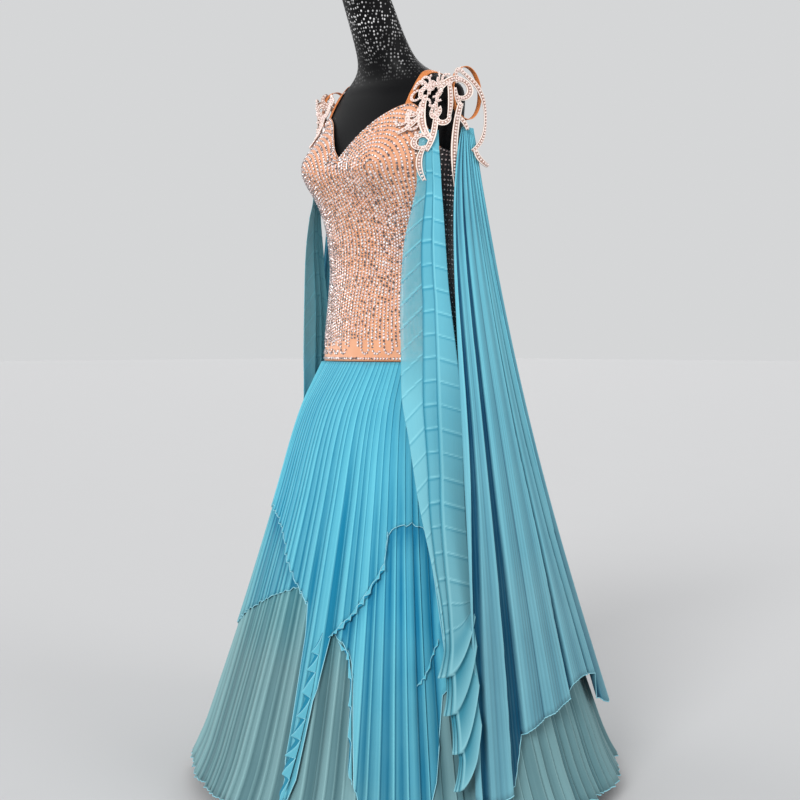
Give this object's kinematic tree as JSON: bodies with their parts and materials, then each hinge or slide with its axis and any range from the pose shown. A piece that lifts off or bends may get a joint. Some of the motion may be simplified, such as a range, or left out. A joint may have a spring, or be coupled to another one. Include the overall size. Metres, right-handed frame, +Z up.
{
  "type": "ballroom dance dress on a dress form",
  "caption": "Ballroom dance dress with a jewelled stretch bodice, corded lace shoulders, long pleated chiffon floats and a layered pleated skirt, worn on an armless dress form.",
  "frame": {"origin": "middle of the stand's foot, on the floor", "axes": "+Z up, -Y towards the front of the dress, +X towards the wearer's left"},
  "size_m": [0.8248, 0.8128, 1.547],
  "materials": {
    "chiffon": "sunray-pleated sheer chiffon",
    "nude_stretch": "stretch satin set with crystal stones",
    "sheer_mesh": "sheer stretch mesh over the dark form, set with rows of stones",
    "nude_elastic": "woven elastic",
    "corded_lace": "corded lace with pearls and stones",
    "ring_metal": "polished",
    "form_body": "satin black",
    "stand_metal": "black powder coat"
  },
  "bodies": {
    "root": {"dress_form": "form_body", "stand_pole": "stand_metal", "stand_foot": "stand_metal", "bodice_front": "nude_stretch", "bodice_back": "sheer_mesh", "skirt_floor_gore_1": "chiffon", "skirt_floor_gore_2": "chiffon", "skirt_floor_gore_3": "chiffon", "skirt_floor_gore_4": "chiffon", "skirt_floor_gore_5": "chiffon", "skirt_floor_gore_6": "chiffon", "skirt_floor_gore_7": "chiffon", "skirt_floor_gore_8": "chiffon", "skirt_middle_front": "chiffon", "skirt_middle_left": "chiffon", "skirt_middle_back": "chiffon", "skirt_middle_right": "chiffon", "skirt_top_front": "chiffon", "skirt_top_left": "chiffon", "skirt_top_back": "chiffon", "skirt_top_right": "chiffon", "float_front_left": "chiffon", "float_front_right": "chiffon", "float_back_left": "chiffon", "float_back_right": "chiffon", "strap_left": "nude_elastic", "strap_right": "nude_elastic", "armband_left": "nude_elastic", "armband_right": "nude_elastic", "armband_ring_left": "ring_metal", "armband_ring_right": "ring_metal", "shoulder_lace_left": "corded_lace", "shoulder_lace_right": "corded_lace"}
  },
  "joints": []
}
